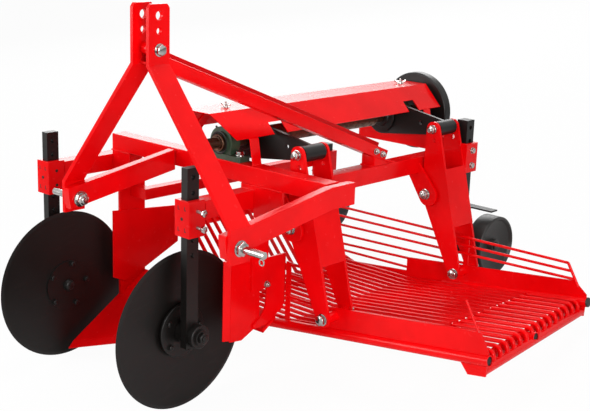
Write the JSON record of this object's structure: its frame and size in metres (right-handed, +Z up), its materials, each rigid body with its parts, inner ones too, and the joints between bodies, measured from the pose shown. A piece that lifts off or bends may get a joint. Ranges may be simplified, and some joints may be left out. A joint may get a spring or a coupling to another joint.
{
  "type": "mounted potato harvester",
  "caption": "Tractor-mounted potato harvester with red tube frame, cutting discs, lifting share and a rocker-driven shaker sieve that discharges to the side.",
  "frame": {"origin": "centre of the bounding box at floor level, with the machine parked on its discs and wheels", "axes": "+X to the machine's left (the discharge side), +Y to its rear, +Z up"},
  "size_m": [1.6524, 1.7116, 1.3308],
  "materials": {
    "red_paint": "gloss",
    "black_paint": "satin",
    "wheel_grey": "satin",
    "bearing_green": "gloss",
    "zinc": "satin",
    "bare_steel": "satin"
  },
  "bodies": {
    "frame": {"mast_left": "red_paint", "lower_arm_left": "red_paint", "hitch_pin_left": "zinc", "mast_right": "red_paint", "lower_arm_right": "red_paint", "hitch_pin_right": "zinc", "mast_spacer": "zinc", "front_beam": "red_paint", "side_beam": "red_paint", "rear_beam": "red_paint", "hanger_plate": "red_paint", "hanger_box": "red_paint", "right_beam": "red_paint", "stay_post": "red_paint", "top_stay": "red_paint", "bearing_front": "bearing_green", "bearing_rear": "bearing_green", "shaft_cover": "red_paint", "cover_hoop_front": "red_paint", "cover_hoop_rear": "red_paint", "pivot_bracket_front": "red_paint", "pivot_bracket_rear": "red_paint", "disc_shank_left": "black_paint", "disc_clamp_left": "red_paint", "disc_arm_left": "red_paint", "wheel_leg_left": "black_paint", "wheel_clamp_left": "red_paint", "disc_shank_right": "black_paint", "disc_clamp_right": "red_paint", "disc_arm_right": "red_paint", "wheel_leg_right": "black_paint", "wheel_clamp_right": "red_paint", "share": "red_paint", "leg_left": "red_paint", "leg_right": "red_paint", "cheek": "red_paint", "cheek_bracket": "red_paint", "moldboard": "red_paint"},
    "drive": {"drive_shaft": "bare_steel", "flywheel": "black_paint"},
    "rocker_front": {"rocker_front": "red_paint"},
    "connecting_rod_front": {"connecting_rod_front": "black_paint"},
    "rocker_rear": {"rocker_rear": "red_paint"},
    "connecting_rod_rear": {"connecting_rod_rear": "black_paint"},
    "sieve": {"sieve_pipe_near": "red_paint", "sieve_wall_near": "red_paint", "sieve_pipe_far": "red_paint", "sieve_wall_far": "red_paint", "sieve_fence_near": "red_paint", "sieve_fence_far": "red_paint", "sieve_bars": "red_paint", "sieve_end_pipes": "red_paint", "sieve_cross_bars": "red_paint", "sieve_rods": "red_paint"},
    "disc_left": {"disc_left": "black_paint"},
    "wheel_left": {"wheel_left": "wheel_grey"},
    "disc_right": {"disc_right": "black_paint"},
    "wheel_right": {"wheel_right": "wheel_grey"}
  },
  "joints": [
    {"name": "shaft_turn", "type": "hinge", "parent": "frame", "child": "drive", "pos_m": [-0.18815, 0.26871, 0.68035], "axis": [0, 0.9818, -0.1899], "continuous": true},
    {"name": "rocker_front_swing", "type": "hinge", "parent": "frame", "child": "rocker_front", "pos_m": [0.09185, -0.16336, 0.51336], "axis": [0, 0.9818, -0.1899], "range_deg": [-1.9, 1.9]},
    {"name": "rocker_rear_swing", "type": "hinge", "parent": "frame", "child": "rocker_rear", "pos_m": [0.09185, 0.54845, 0.37569], "axis": [0, 0.9818, -0.1899], "range_deg": [-1.9, 1.9]},
    {"name": "sieve_hang", "type": "hinge", "parent": "rocker_front", "child": "sieve", "pos_m": [0.2287, -0.21611, 0.24061], "axis": [0, 0.9818, -0.1899], "range_deg": [-1.9, 1.9]},
    {"name": "rod_front_pin", "type": "hinge", "parent": "rocker_front", "child": "connecting_rod_front", "pos_m": [0.09656, -0.11767, 0.7496], "axis": [0, 0.9818, -0.1899], "range_deg": [-1.9, 1.9]},
    {"name": "rod_rear_pin", "type": "hinge", "parent": "rocker_rear", "child": "connecting_rod_rear", "pos_m": [0.09656, 0.59414, 0.61193], "axis": [0, 0.9818, -0.1899], "range_deg": [-1.9, 1.9]},
    {"name": "disc_left_turn", "type": "hinge", "parent": "frame", "child": "disc_left", "pos_m": [-0.10515, -0.59079, 0.265], "axis": [1, 0, 0], "continuous": true},
    {"name": "wheel_left_turn", "type": "hinge", "parent": "frame", "child": "wheel_left", "pos_m": [0.19785, 0.71142, 0.115], "axis": [1, 0, 0], "continuous": true},
    {"name": "disc_right_turn", "type": "hinge", "parent": "frame", "child": "disc_right", "pos_m": [-0.72615, -0.59079, 0.265], "axis": [1, 0, 0], "continuous": true},
    {"name": "wheel_right_turn", "type": "hinge", "parent": "frame", "child": "wheel_right", "pos_m": [-0.63215, 0.71142, 0.115], "axis": [1, 0, 0], "continuous": true}
  ],
  "couplings": [
    {"joint": "rocker_rear_swing", "follows": "rocker_front_swing", "ratio": 1},
    {"joint": "sieve_hang", "follows": "rocker_front_swing", "ratio": -1},
    {"joint": "rod_front_pin", "follows": "rocker_front_swing", "ratio": -1},
    {"joint": "rod_rear_pin", "follows": "rocker_front_swing", "ratio": -1}
  ]
}
